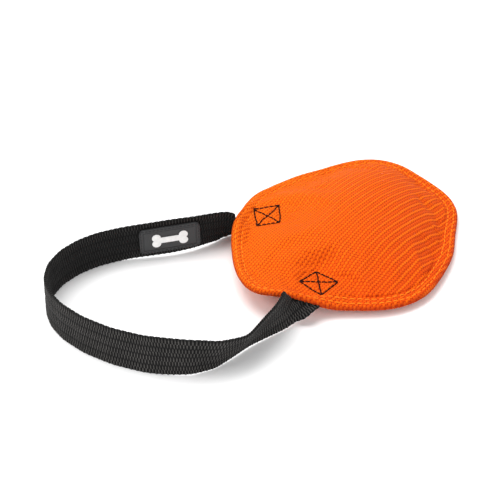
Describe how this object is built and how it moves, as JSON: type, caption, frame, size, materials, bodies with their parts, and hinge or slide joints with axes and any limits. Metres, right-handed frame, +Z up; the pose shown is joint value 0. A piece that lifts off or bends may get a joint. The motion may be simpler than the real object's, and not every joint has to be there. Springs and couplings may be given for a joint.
{
  "type": "training bumper",
  "caption": "Stuffed orange fabric bite pad with a black webbing loop handle sewn into its rim, for dog retrieve and tug training.",
  "frame": {"origin": "middle of the pad's flat underside, on the surface it lies on", "axes": "+X from the handle's loop towards the pad, +Y across, +Z up through the pad's thickness"},
  "size_m": [0.2599, 0.1418, 0.0269],
  "materials": {
    "cover_cloth": "coarse ribbed nylon and cotton cloth, bright orange",
    "wadding": "loose white fibre wadding",
    "felt": "pressed grey felt",
    "webbing": "black woven nylon webbing, matt",
    "orange_thread": "light orange polyester sewing thread",
    "black_thread": "black bonded nylon thread",
    "label_rubber": "black moulded rubber, satin",
    "label_print": "white raised print, matt"
  },
  "bodies": {
    "pad": {"upper_cover": "cover_cloth", "lower_cover": "cover_cloth", "lower_wadding": "wadding", "core_felt": "felt", "upper_wadding": "wadding", "seam_thread": "orange_thread", "strap_end_far": "webbing", "strap_end_near": "webbing", "rim_stitch_outer_needle": "orange_thread", "rim_stitch_outer_bobbin": "orange_thread", "rim_stitch_inner_needle": "orange_thread", "rim_stitch_inner_bobbin": "orange_thread", "box_stitch_far_needle": "black_thread", "box_stitch_far_bobbin": "black_thread", "box_stitch_near_needle": "black_thread", "box_stitch_near_bobbin": "black_thread"},
    "handle": {"handle_strap": "webbing", "label_patch": "label_rubber", "label_motif": "label_print", "label_stitch": "black_thread"}
  },
  "joints": [
    {"name": "handle_fold", "type": "hinge", "parent": "pad", "child": "handle", "pos_m": [-0.0585, 0, 0.009], "axis": [0, 1, 0], "range_deg": [-60, 90]}
  ]
}
